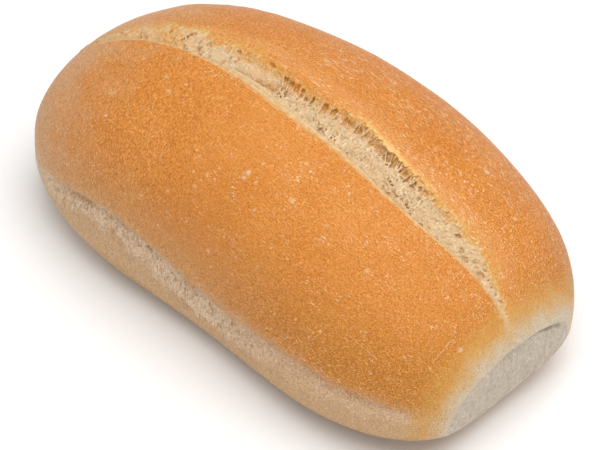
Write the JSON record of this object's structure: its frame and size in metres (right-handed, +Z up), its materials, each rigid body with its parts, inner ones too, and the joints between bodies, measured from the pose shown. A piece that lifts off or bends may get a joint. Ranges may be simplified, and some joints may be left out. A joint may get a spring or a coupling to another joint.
{
  "type": "bread roll",
  "caption": "Oblong crusty bread roll with one long split showing the crumb, a pale flat end with an arched fold, a seam along one flank and a flat sole.",
  "frame": {"origin": "middle of the roll's box, at the level of its flat sole", "axes": "+X along the roll towards its flat end, +Y towards the flank without the seam, +Z up"},
  "size_m": [0.1196, 0.0682, 0.0495],
  "materials": {
    "bread": "satin golden-brown crust, with matt cream crumb in the split and a matt pale flat end"
  },
  "bodies": {
    "root": {"bread_roll": "bread"}
  },
  "joints": []
}
